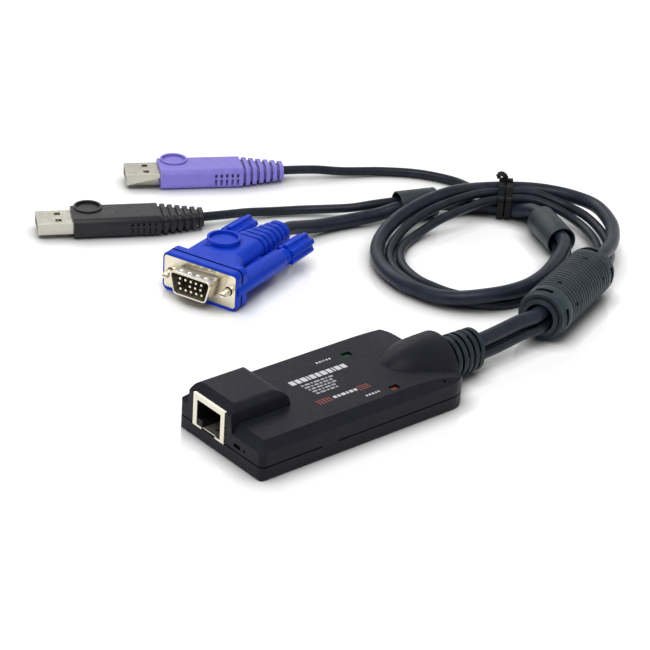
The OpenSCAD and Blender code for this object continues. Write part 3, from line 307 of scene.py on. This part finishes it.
def linear(code):
    """A colour written as six hex digits, as the linear values that shaders take."""
    out = []
    for i in (1, 3, 5):
        c = int(code[i : i + 2], 16) / 255
        out.append(c / 12.92 if c <= 0.04045 else ((c + 0.055) / 1.055) ** 2.4)
    return (*out, 1.0)


def add_camera():
    """The photograph's camera: it looks from the socket end over the case to the coil."""
    place = Vector(CAMERA_PLACE) * MM
    ahead = (Vector(CAMERA_TARGET) * MM - place).normalized()
    right = ahead.cross(Vector((0, 0, 1))).normalized()
    up = right.cross(ahead)
    roll = math.radians(CAMERA_ROLL)
    turned_right = right * math.cos(roll) + up * math.sin(roll)
    turned_up = up * math.cos(roll) - right * math.sin(roll)
    data = bpy.data.cameras.new("camera")
    data.lens = CAMERA_LENS
    data.sensor_width = CAMERA_SENSOR
    data.clip_start, data.clip_end = CAMERA_NEAR, CAMERA_FAR
    camera = bpy.data.objects.new("camera", data)
    scene.collection.objects.link(camera)
    turn = Matrix((turned_right, turned_up, -ahead)).transposed()
    camera.matrix_world = Matrix.Translation(place) @ turn.to_4x4()
    scene.camera = camera


def catmull(points, steps):
    """The route again, with steps pieces to each span, on the same curve as the part's source."""
    out = []
    last = len(points) - 1
    for i in range(last):
        a, b, c, d = (Vector(points[min(max(k, 0), last)]) for k in (i - 1, i, i + 1, i + 2))
        for s in range(steps):
            t = s / steps
            out.append(0.5 * (2 * b + (c - a) * t + (2 * a - 5 * b + 4 * c - d) * t * t
                              + (3 * b - a - 3 * c + d) * t ** 3))
    out.append(Vector(points[last]))
    return out


def new_tube(name, line, radius, facets, material):
    """A round cord along a line of points in metres, closed at both ends."""
    data = bpy.data.curves.new(name, "CURVE")
    data.dimensions = "3D"
    data.bevel_depth = radius * MM
    data.bevel_resolution = facets
    data.use_fill_caps = True
    spline = data.splines.new("POLY")
    spline.points.add(len(line) - 1)
    for point, place in zip(spline.points, line):
        point.co = (*place, 1)
    spline.use_smooth = True
    data.materials.append(material)
    tube = bpy.data.objects.new(name, data)
    scene.collection.objects.link(tube)
    return tube


def add_cable(name, node, route, diameter, finish):
    """One cable as a single smooth curve from inside the boot to its plug."""
    line = [p * MM for p in catmull(route, CURVE_STEPS)]
    cable = new_tube(name, line, diameter / 2, CABLE_FACETS, finishes[finish])
    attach(cable, "root")
    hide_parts(node)


class Finish:
    """A Principled material and the few nodes that give it tint, wear, a fine bump and painted shade in its
    folds.
    """

    def __init__(self, name, colour, roughness, metallic=0.0, specular=0.5):
        self.name = name
        self.material = bpy.data.materials.new(name)
        self.material.use_nodes = True
        self.tree = self.material.node_tree
        self.shader = self.tree.nodes["Principled BSDF"]
        self.colour = linear(colour)
        self.shader.inputs["Base Color"].default_value = self.colour
        self.shader.inputs["Roughness"].default_value = roughness
        self.shader.inputs["Metallic"].default_value = metallic
        self.shader.inputs["Specular IOR Level"].default_value = specular
        self.place = self.tree.nodes.new("ShaderNodeTexCoord").outputs["Object"]

    def noise(self, scale, detail):
        """Noise of that many features a metre, in the object's own coordinates."""
        texture = self.tree.nodes.new("ShaderNodeTexNoise")
        texture.inputs["Scale"].default_value = scale
        texture.inputs["Detail"].default_value = detail
        self.tree.links.new(self.place, texture.inputs["Vector"])
        return texture.outputs["Fac"]

    def tint(self, scale, other, span=TINT_SPAN):
        """Clouds the base colour towards another one."""
        ramp = self.tree.nodes.new("ShaderNodeValToRGB")
        colours = (self.colour, linear(other))
        for element, position, colour in zip(ramp.color_ramp.elements, span, colours):
            element.position = position
            element.color = colour
        self.tree.links.new(self.noise(scale, TINT_DETAIL), ramp.inputs["Fac"])
        self.tree.links.new(ramp.outputs["Color"], self.shader.inputs["Base Color"])
        return self

    def crevice_shade(self, reach, shade, span=FOLD_SHADE_SPAN):
        """Paints shade into the base colour, by ambient occlusion, in grooves and pits narrower than the reach,
        in metres.
        """
        fold = self.tree.nodes.new("ShaderNodeAmbientOcclusion")
        fold.samples = FOLD_SHADE_SAMPLES
        fold.only_local = True
        fold.inputs["Distance"].default_value = reach
        share = self.tree.nodes.new("ShaderNodeMapRange")
        share.inputs["From Min"].default_value, share.inputs["From Max"].default_value = span
        share.inputs["To Min"].default_value = shade
        self.tree.links.new(fold.outputs["AO"], share.inputs["Value"])
        darker = self.tree.nodes.new("ShaderNodeVectorMath")
        darker.operation = "SCALE"
        darker.inputs[0].default_value = self.colour[:3]
        for link in self.shader.inputs["Base Color"].links:
            self.tree.links.new(link.from_socket, darker.inputs[0])
        self.tree.links.new(share.outputs["Result"], darker.inputs["Scale"])
        self.tree.links.new(darker.outputs[0], self.shader.inputs["Base Color"])
        return self

    def polish(self, scale, low, high):
        """Varies the roughness between two values."""
        share = self.tree.nodes.new("ShaderNodeMapRange")
        share.inputs["From Min"].default_value, share.inputs["From Max"].default_value = POLISH_SPAN
        share.inputs["To Min"].default_value = low
        share.inputs["To Max"].default_value = high
        self.tree.links.new(self.noise(scale, POLISH_DETAIL), share.inputs["Value"])
        self.tree.links.new(share.outputs["Result"], self.shader.inputs["Roughness"])
        return self

    def grain(self, scale, strength, distance):
        """Adds a fine bump of that depth in metres."""
        relief = self.tree.nodes.new("ShaderNodeBump")
        relief.inputs["Strength"].default_value = strength
        relief.inputs["Distance"].default_value = distance
        self.tree.links.new(self.noise(scale, GRAIN_DETAIL), relief.inputs["Height"])
        self.tree.links.new(relief.outputs["Normal"], self.shader.inputs["Normal"])
        return self


def make_finishes():
    """Every finish of the object: its name, colour, roughness, metal share and gloss level, then its detail."""
    # The crevice step paints shade into the base colour of grooves, seams and pits.
    made = (
        Finish("housing", "#1b1c24", 0.4, 0.0, 0.12).tint(260, "#20212a").polish(900, 0.36, 0.5)
        .grain(3800, 0.35, 0.00006).crevice_shade(0.0012, 0.1),
        Finish("housing_low", "#1a1b22", 0.44, 0.0, 0.14).tint(260, "#1c1d24").polish(900, 0.4, 0.54)
        .grain(3800, 0.35, 0.00006).crevice_shade(0.0012, 0.1),
        Finish("board", "#1c5c34", 0.35).tint(900, "#2a7a45", BOARD_TINT_SPAN).grain(2600, 0.3, 0.00004),
        Finish("chip", "#191a1d", 0.55).polish(1500, 0.45, 0.65).grain(5000, 0.3, 0.00003),
        Finish("can", "#c4c6c8", 0.25, 1.0).polish(700, 0.18, 0.34),
        Finish("socket_metal", "#e6e0d0", 0.28, 0.85).polish(400, 0.22, 0.34),
        Finish("port_black", "#0c0c0f", 0.45, 0.0, 0.25).polish(1200, 0.4, 0.55),
        Finish("gold", "#c9a24a", 0.24, 1.0).polish(1200, 0.18, 0.32),
        Finish("green_lens", "#1f6a3c", 0.2).polish(800, 0.15, 0.3),
        Finish("amber_lens", "#93501f", 0.2).polish(800, 0.15, 0.3),
        Finish("white_plastic", "#e4e2da", 0.4).polish(900, 0.35, 0.5),
        Finish("print", "#e6e6e8", 0.5).polish(1500, 0.42, 0.6),
        Finish("print_grey", "#b2b3b8", 0.5).polish(1500, 0.42, 0.6),
        Finish("print_red", "#a84a3c", 0.5).polish(1500, 0.42, 0.6),
        Finish("boot", "#1f2a30", 0.5, 0.0, 0.2).tint(300, "#2c383e").polish(900, 0.42, 0.6)
        .grain(3000, 0.35, 0.00006).crevice_shade(0.0016, 0.1),
        Finish("jacket", "#1d222f", 0.3, 0.0, 0.2).tint(180, "#2a3040").polish(420, 0.28, 0.38)
        .grain(2600, 0.25, 0.00005),
        Finish("jacket_thin", "#1d212c", 0.3, 0.0, 0.2).tint(180, "#282d39").polish(420, 0.28, 0.38)
        .grain(2600, 0.25, 0.00004),
        # Painted shade: the ferrite's pits and grooves darken down to black.
        Finish("ferrite", "#2c3840", 0.5, 0.0, 0.25).tint(240, "#3b4850").polish(800, 0.42, 0.58)
        .grain(2800, 0.35, 0.00006).crevice_shade(0.002, 0.0, PIT_FOLD_SHADE_SPAN),
        Finish("core", "#3c3e42", 0.6, 0.3).grain(1800, 0.4, 0.00008),
        Finish("sleeve", "#2b3338", 0.42, 0.0, 0.3).tint(260, "#353e43").polish(700, 0.34, 0.52)
        .grain(3000, 0.3, 0.00005),
        Finish("tie", "#0a0b0d", 0.4, 0.0, 0.15).polish(900, 0.28, 0.45),
        Finish("blue", "#0f42d8", 0.32, 0.0, 0.14).tint(240, "#1349e0").polish(700, 0.3, 0.44)
        .grain(3200, 0.3, 0.00005).crevice_shade(0.0016, 0.15),
        # Painted shade: the plated shell darkens near its root on the flange.
        Finish("plated", "#ece4cf", 0.22, 0.85).polish(420, 0.17, 0.27)
        .crevice_shade(0.004, 0.15, METAL_FOLD_SHADE_SPAN),
        Finish("pin", "#e6dfca", 0.2, 1.0).polish(900, 0.15, 0.3),
        Finish("purple", "#9a8cf0", 0.38, 0.0, 0.26).tint(260, "#a093f4").polish(700, 0.33, 0.48)
        .grain(3200, 0.3, 0.00005).crevice_shade(0.0014, 0.15),
        Finish("usb_metal", "#bdbaae", 0.2, 1.0).polish(400, 0.15, 0.25),
        Finish("black_grip", "#1c1b1f", 0.38, 0.0, 0.32).tint(260, "#232226").polish(700, 0.36, 0.5)
        .grain(3200, 0.3, 0.00005).crevice_shade(0.0014, 0.1),
    )
    return {finish.name: finish.material for finish in made}


FINISH_OF = {
    "upper_shell": "housing",
    "lower_shell": "housing_low",
    "circuit_board": "board",
    "control_chip": "chip",
    "video_chip": "chip",
    "clock_crystal": "can",
    "network_shield": "socket_metal",
    "network_insert": "port_black",
    "network_contacts": "gold",
    "online_lens": "green_lens",
    "power_lens": "amber_lens",
    "cable_header": "white_plastic",
    "gland_boot": "boot",
    "ferrite_cover": "ferrite",
    "ferrite_core": "core",
    "near_sleeve": "sleeve",
    "far_sleeve": "sleeve",
    "twist_tie": "tie",
    "video_hood": "blue",
    "video_shield": "plated",
    "video_insulator": "port_black",
    "video_pins": "pin",
    "left_thumbscrew_knob": "blue",
    "left_thumbscrew": "plated",
    "right_thumbscrew_knob": "blue",
    "right_thumbscrew": "plated",
    "purple_usb_grip": "purple",
    "purple_usb_shell": "usb_metal",
    "purple_usb_tongue": "white_plastic",
    "purple_usb_contacts": "gold",
    "black_usb_grip": "black_grip",
    "black_usb_shell": "usb_metal",
    "black_usb_tongue": "white_plastic",
    "black_usb_contacts": "gold",
}

# Nodes whose edges get a small round of that width in mm
SOFT_EDGES = {
    0.25: ("upper_shell", "near_sleeve", "far_sleeve", "video_hood", "left_thumbscrew_knob",
           "right_thumbscrew_knob", "left_thumbscrew", "right_thumbscrew", "purple_usb_grip",
           "black_usb_grip"),
    0.2: ("lower_shell",),
    0.12: ("gland_boot", "ferrite_cover", "twist_tie", "purple_usb_shell", "black_usb_shell"),
    0.1: ("video_shield",),
    0.08: ("network_shield",),
}


def add_piece(name, bm, finish, body="root", smooth_faces=False):
    """A built mesh as a piece in the row frame that rides on a body and takes a finish."""
    bmesh.ops.recalc_face_normals(bm, faces=bm.faces)
    mesh = bpy.data.meshes.new(name)
    bm.to_mesh(mesh)
    bm.free()
    for face in mesh.polygons:
        face.use_smooth = smooth_faces
    mesh.materials.append(finishes[finish])
    piece = bpy.data.objects.new(name, mesh)
    scene.collection.objects.link(piece)
    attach(piece, body)


def skin(bm, rows):
    """Quads between each two neighbouring rings of vertices."""
    for low, high in zip(rows, rows[1:]):
        for k in range(len(low)):
            j = (k + 1) % len(low)
            bm.faces.new((low[k], low[j], high[j], high[k]))


def cap(bm, rows):
    """One face on the last ring and one on the first."""
    bm.faces.new(rows[-1])
    bm.faces.new(rows[0][::-1])


def rounded_bar(bm, x_from, x_to, y, height, radius):
    """One thin plate with round corners that lies on the lid."""
    corners = ((x_to, y + height / 2, 0), (x_from, y + height / 2, 90), (x_from, y - height / 2, 180),
               (x_to, y - height / 2, 270))
    outline = []
    for x, side, start in corners:
        centre_x = x + (radius if x == x_from else -radius)
        centre_y = side + (radius if side < y else -radius)
        for k in range(PRINT_CORNER_STEPS + 1):
            t = math.radians(start + 90 * k / PRINT_CORNER_STEPS)
            outline.append((centre_x + radius * math.cos(t), centre_y + radius * math.sin(t)))
    low, top = ([bm.verts.new((x * MM, py * MM, z * MM)) for x, py in outline]
                for z in (LID_TOP, LID_TOP + PRINT_THICK))
    cap(bm, (low, top))
    skin(bm, (low, top))


def add_print():
    """Plain bars in the place of printed lines on the lid."""
    for finish in ("print", "print_grey", "print_red"):
        bm = bmesh.new()
        for row_finish, x, y, height, widths in PRINT_ROWS:
            if row_finish != finish:
                continue
            for width in widths:
                rounded_bar(bm, x, x + width, y, height, min(PRINT_ROUND, width * PRINT_ROUND_SHARE))
                x += width + PRINT_GAP
        add_piece("lid_" + finish, bm, finish)


def set_finish(obj, material):
    """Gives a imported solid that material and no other."""
    obj.data.materials.clear()
    obj.data.materials.append(material)


def soften(obj, width):
    """Joins the solid's split edges and rounds the sharp ones by that many millimetres."""
    weld = obj.modifiers.new("weld", "WELD")
    weld.merge_threshold = WELD_GAP
    bevel = obj.modifiers.new("bevel", "BEVEL")
    bevel.width = width * MM
    bevel.segments = EDGE_SEGMENTS
    bevel.limit_method = "ANGLE"
    bevel.angle_limit = math.radians(EDGE_ANGLE)
    bevel.harden_normals = False
    bevel.use_clamp_overlap = True


def turned(place, degrees, x, y, z):
    """A point of a frame that is turned about z at a place, in metres in the row frame."""
    t = math.radians(degrees)
    px, py, pz = place
    across = px + x * math.cos(t) - y * math.sin(t)
    along = py + x * math.sin(t) + y * math.cos(t)
    return (across * MM, along * MM, (pz + z) * MM)


def video_point(x, y, z):
    """A point given in the video plug's own frame, in metres in the row frame."""
    return turned(VIDEO_PLACE, VIDEO_TURN, x, y, z)


def shell_outline(inset):
    """The plug's D outline, wide side up, as points of y and z."""
    top = SHELL_TOP / 2 - inset
    half = SHELL_HEIGHT / 2 - inset
    low = top - 2 * half * math.tan(math.radians(SHELL_SLANT))
    corner = max(SHELL_CORNER - inset, SHELL_LEAST_CORNER)
    bends = (
        (corner - top, half - corner, 90, 180 + SHELL_SLANT),
        (corner - low, corner - half, 180 + SHELL_SLANT, 270),
        (low - corner, corner - half, 270, 360 - SHELL_SLANT),
        (top - corner, half - corner, -SHELL_SLANT, 90),
    )
    points = []
    for y, z, start, end in bends:
        for k in range(SHELL_CORNER_STEPS + 1):
            t = math.radians(start + (end - start) * k / SHELL_CORNER_STEPS)
            points.append((y + corner * math.cos(t), z + corner * math.sin(t)))
    return points


def add_shell_lip():
    """The rolled front edge of the plug's shell, a little proud of it."""
    bm = bmesh.new()
    front = -FLANGE - SHELL_REACH
    rows = [[bm.verts.new(video_point(front + back, y, z)) for y, z in shell_outline(inset)]
            for inset, back in LIP_SECTION]
    skin(bm, rows + rows[:1])
    add_piece("shell_lip", bm, "plated", smooth_faces=True)


def add_shell_dimples():
    """The row of small stamped domes on the wide side of the plug's shell."""
    bm = bmesh.new()
    turns = [2 * math.pi * k / DIMPLE_STEPS for k in range(DIMPLE_STEPS)]
    x = -FLANGE - SHELL_REACH * DIMPLE_PLACE_SHARE
    for i in range(DIMPLES):
        y = (i - (DIMPLES - 1) / 2) * DIMPLE_PITCH
        rows = []
        for share in DIMPLE_RINGS:
            r = DIMPLE_R * share
            z = SHELL_HEIGHT / 2 + DIMPLE_RISE * (1 - share ** 2) - DIMPLE_SINK
            rows.append([bm.verts.new(video_point(x + r * math.cos(t), y + r * math.sin(t), z))
                         for t in turns])
        skin(bm, rows)
        cap(bm, rows)
    add_piece("shell_dimples", bm, "plated", smooth_faces=True)


def add_screw_tip(name, side, body):
    """The chamfered end of a thumbscrew, in two halves beside its driver slot."""
    bm = bmesh.new()
    y = side * SCREW_SPACING / 2
    for half in (-1, 1):
        rows = []
        for share, back in TIP_SECTION:
            r = SCREW_R * share
            start = math.asin(SLOT_HALF / r)
            turns = [start + (math.pi - 2 * start) * k / TIP_STEPS for k in range(TIP_STEPS + 1)]
            x = -SCREW_REACH + back
            rows.append([bm.verts.new(video_point(x, y + r * math.cos(t), half * r * math.sin(t)))
                         for t in turns])
        skin(bm, rows)
        cap(bm, rows)
    add_piece(name, bm, "plated", body)


def add_tie_ends():
    """The two ends of the twist tie, wound round each other and bent over the bundle."""
    line = catmull([(TIE_TOP_SIDE + x, y, z) for x, y, z in TIE_END_ROUTE], TIE_END_STEPS)
    for k in range(2):
        points = []
        for i, p in enumerate(line):
            t = math.pi * k + i * TIE_END_TWIST
            points.append(turned(TIE_PLACE, TIE_TURN, p.x, p.y + TIE_END_R * math.cos(t),
                                 p.z + TIE_END_R * math.sin(t)))
        piece = new_tube("tie_end_%d" % (k + 1), points, TIE_END_R, TIE_END_FACETS, finishes["tie"])
        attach(piece, "root")


def add_area_light(name, place, size, power):
    """A soft lamp that looks at the middle of the object."""
    data = bpy.data.lights.new(name, "AREA")
    data.shape = "RECTANGLE"
    data.size, data.size_y = size
    data.energy = power
    light = bpy.data.objects.new(name, data)
    scene.collection.objects.link(light)
    light.location = place
    light.rotation_euler = (Vector(LAMP_TARGET) - Vector(place)).to_track_quat("-Z", "Y").to_euler()


def math_node(tree, operation, first, second):
    """The result of one sum on a socket and a second socket or number."""
    node = tree.nodes.new("ShaderNodeMath")
    node.operation = operation
    tree.links.new(first, node.inputs[0])
    if isinstance(second, float):
        node.inputs[1].default_value = second
    else:
        tree.links.new(second, node.inputs[1])
    return node.outputs[0]


def mix_shaders(tree, share, first, second):
    """The first shader, with a share of the second."""
    node = tree.nodes.new("ShaderNodeMixShader")
    if isinstance(share, float):
        node.inputs[0].default_value = share
    else:
        tree.links.new(share, node.inputs[0])
    tree.links.new(first, node.inputs[1])
    tree.links.new(second, node.inputs[2])
    return node.outputs[0]


def add_world():
    """Even white room: full white to the camera, softer in reflections and as light."""
    world = bpy.data.worlds.new("room")
    scene.world = world
    world.use_nodes = True
    tree = world.node_tree
    background = tree.nodes["Background"]
    background.inputs["Color"].default_value = (1, 1, 1, 1)
    rays = tree.nodes.new("ShaderNodeLightPath").outputs
    seen = math_node(tree, "MULTIPLY", rays["Is Glossy Ray"], MIRRORED_ROOM)
    for ray in ("Is Camera Ray", "Is Transmission Ray"):
        seen = math_node(tree, "MAXIMUM", seen, rays[ray])
    strength = tree.nodes.new("ShaderNodeMapRange")
    strength.inputs["To Min"].default_value = ROOM_LIGHT
    strength.inputs["To Max"].default_value = 1.0
    tree.links.new(seen, strength.inputs["Value"])
    tree.links.new(strength.outputs["Result"], background.inputs["Strength"])


def add_floor():
    """White table that fades into the background, keeps the lamps' shadows, carries a painted contact shadow
    and mirrors the object a little.
    """
    data = bpy.data.meshes.new("floor")
    half = FLOOR_HALF
    corners = [(-half, -half, 0), (half, -half, 0), (half, half, 0), (-half, half, 0)]
    data.from_pydata(corners, [], [(0, 1, 2, 3)])
    floor = bpy.data.objects.new("floor", data)
    scene.collection.objects.link(floor)
    floor.location = FLOOR_CENTRE
    data.materials.append(floor_material())


def floor_material():
    """A lit matt white, a glow with a painted contact shadow that dims it where something stands on it, and a
    polish over both.
    """
    material = bpy.data.materials.new("floor")
    material.use_nodes = True
    tree = material.node_tree
    matt = tree.nodes["Principled BSDF"]
    matt.inputs["Base Color"].default_value = (FLOOR_TONE, FLOOR_TONE, FLOOR_TONE, 1)
    matt.inputs["Roughness"].default_value = FLOOR_ROUGHNESS
    matt.inputs["Specular IOR Level"].default_value = FLOOR_GLOSS
    # Painted shadow: ambient occlusion dims the glow near the object.
    contact = tree.nodes.new("ShaderNodeAmbientOcclusion")
    contact.samples = CONTACT_SHADOW_SAMPLES
    contact.inputs["Distance"].default_value = CONTACT_SHADOW_REACH
    dim = tree.nodes.new("ShaderNodeMapRange")
    dim.inputs["From Min"].default_value = CONTACT_SHADOW_DEEP
    dim.inputs["To Max"].default_value = FLOOR_WHITE
    tree.links.new(contact.outputs["AO"], dim.inputs["Value"])
    glow = tree.nodes.new("ShaderNodeEmission")
    tree.links.new(dim.outputs["Result"], glow.inputs["Strength"])
    rays = tree.nodes.new("ShaderNodeLightPath").outputs
    seen = math_node(tree, "MAXIMUM", rays["Is Camera Ray"], rays["Is Glossy Ray"])
    share = math_node(tree, "MULTIPLY", seen, FLOOR_GLOW)
    lit = mix_shaders(tree, share, matt.outputs[0], glow.outputs[0])
    mirror = tree.nodes.new("ShaderNodeBsdfGlossy")
    mirror.inputs["Roughness"].default_value = FLOOR_BLUR
    polished = mix_shaders(tree, FLOOR_POLISH, lit, mirror.outputs[0])
    tree.links.new(polished, tree.nodes["Material Output"].inputs["Surface"])
    return material


scene.view_settings.view_transform = "Standard"
add_camera()
finishes = make_finishes()
add_cable("video_lead", "video_cable", VIDEO_ROUTE, VIDEO_D, "jacket")
add_cable("purple_usb_lead", "purple_usb_cable", PURPLE_ROUTE, USB_D, "jacket_thin")
add_cable("black_usb_lead", "black_usb_cable", BLACK_ROUTE, USB_D, "jacket_thin")
for node, finish in FINISH_OF.items():
    set_finish(nodes[node], finishes[finish])
for width, names in SOFT_EDGES.items():
    for node in names:
        soften(nodes[node], width)
add_print()
add_shell_lip()
add_shell_dimples()
add_screw_tip("left_screw_tip", 1, "left_screw")
add_screw_tip("right_screw_tip", -1, "right_screw")
add_tie_ends()
add_world()
add_floor()
for lamp in LAMPS:
    add_area_light(*lamp)
